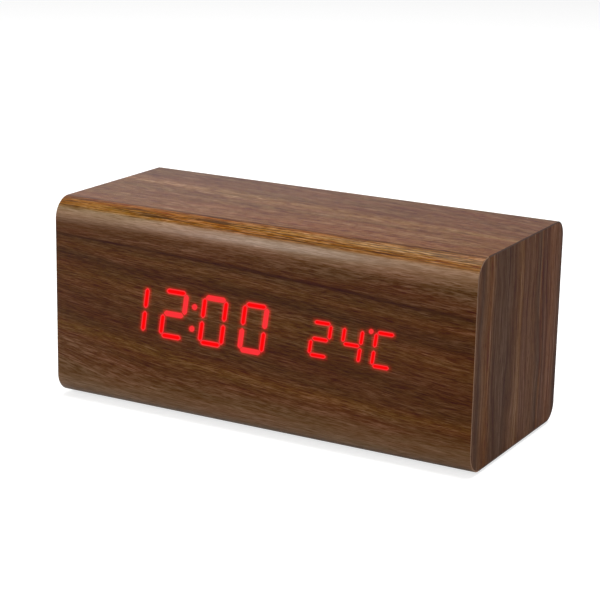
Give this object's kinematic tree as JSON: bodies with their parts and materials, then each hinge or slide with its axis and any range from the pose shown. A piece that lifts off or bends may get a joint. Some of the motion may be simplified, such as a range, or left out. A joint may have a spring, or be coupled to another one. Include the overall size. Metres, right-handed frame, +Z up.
{
  "type": "digital led desk clock",
  "caption": "Oblong walnut-veneered block clock with red LED time and temperature figures shining through its front and a battery cover with buttons behind.",
  "frame": {"origin": "on the table, under the middle of the case, at the level of the feet's undersides", "axes": "+X runs along the clock to its right end seen from the front, the front faces -Y, +Z is up"},
  "size_m": [0.15, 0.066, 0.0675],
  "materials": {
    "fibreboard": "raw medium-density fibreboard",
    "walnut_wrap": "satin dark walnut veneer, grain along the clock",
    "walnut_end": "satin dark walnut veneer, grain upright",
    "foot_rubber": "matt black rubber",
    "diffuser_film": "matt translucent film",
    "white_plastic": "moulded white plastic",
    "red_light": "lit red",
    "circuit_board": "green solder mask",
    "led_chip": "clear resin over a lamp die",
    "chip_black": "moulded epoxy",
    "screw_steel": "zinc plated",
    "screw_black": "black oxide",
    "black_plastic": "fine spark-eroded texture",
    "button_plastic": "smooth moulded plastic",
    "contact_metal": "bright nickel plate",
    "cell_wrap": "shrunk plastic sleeve with a metal end",
    "red_insulation": "PVC insulation",
    "black_insulation": "PVC insulation",
    "plunger_plastic": "moulded plastic",
    "switch_plastic": "moulded plastic",
    "buzzer_plastic": "moulded plastic",
    "thermistor_bead": "dipped resin",
    "capacitor_sleeve": "shrunk sleeve",
    "plug_plastic": "natural nylon",
    "ribbon_grey": "grey PVC ribbon"
  },
  "bodies": {
    "clock_case": {"case_core": "fibreboard", "left_end_board": "fibreboard", "right_end_board": "fibreboard", "wrap_veneer": "walnut_wrap", "left_end_veneer": "walnut_end", "right_end_veneer": "walnut_end", "foot_pads": "foot_rubber", "diffuser_film": "diffuser_film", "segment_reflector": "white_plastic", "lit_segments": "red_light", "display_board": "circuit_board", "led_chips": "led_chip", "display_driver_chip": "chip_black", "display_screws": "screw_steel", "rear_cover": "black_plastic", "rear_cover_screws": "screw_black", "battery_plates": "contact_metal", "battery_springs": "contact_metal", "battery_cells": "cell_wrap", "red_battery_lead": "red_insulation", "black_battery_lead": "black_insulation", "switch_housings": "switch_plastic", "main_board": "circuit_board", "main_board_screws": "screw_steel", "power_socket_shell": "contact_metal", "power_socket_tongue": "chip_black", "buzzer": "buzzer_plastic", "microphone": "contact_metal", "thermistor": "thermistor_bead", "crystal": "contact_metal", "controller_chip": "chip_black", "smoothing_capacitors": "capacitor_sleeve", "ribbon_plugs": "plug_plastic", "ribbon_cable": "ribbon_grey"},
    "battery_door": {"battery_door": "black_plastic"},
    "set_button": {"set_button": "button_plastic", "set_plunger": "plunger_plastic"},
    "up_button": {"up_button": "button_plastic", "up_plunger": "plunger_plastic"},
    "down_button": {"down_button": "button_plastic", "down_plunger": "plunger_plastic"}
  },
  "joints": [
    {"name": "battery_door_hinge", "type": "hinge", "parent": "clock_case", "child": "battery_door", "pos_m": [-0.0155, 0.032, 0.0163], "axis": [-1, 0, 0], "range_deg": [0, 80]},
    {"name": "set_button_press", "type": "slide", "parent": "clock_case", "child": "set_button", "axis": [0, -1, 0], "range_m": [0, 0.0005], "stiffness_N_per_m": 4000},
    {"name": "up_button_press", "type": "slide", "parent": "clock_case", "child": "up_button", "axis": [0, -1, 0], "range_m": [0, 0.0005], "stiffness_N_per_m": 4000},
    {"name": "down_button_press", "type": "slide", "parent": "clock_case", "child": "down_button", "axis": [0, -1, 0], "range_m": [0, 0.0005], "stiffness_N_per_m": 4000}
  ]
}
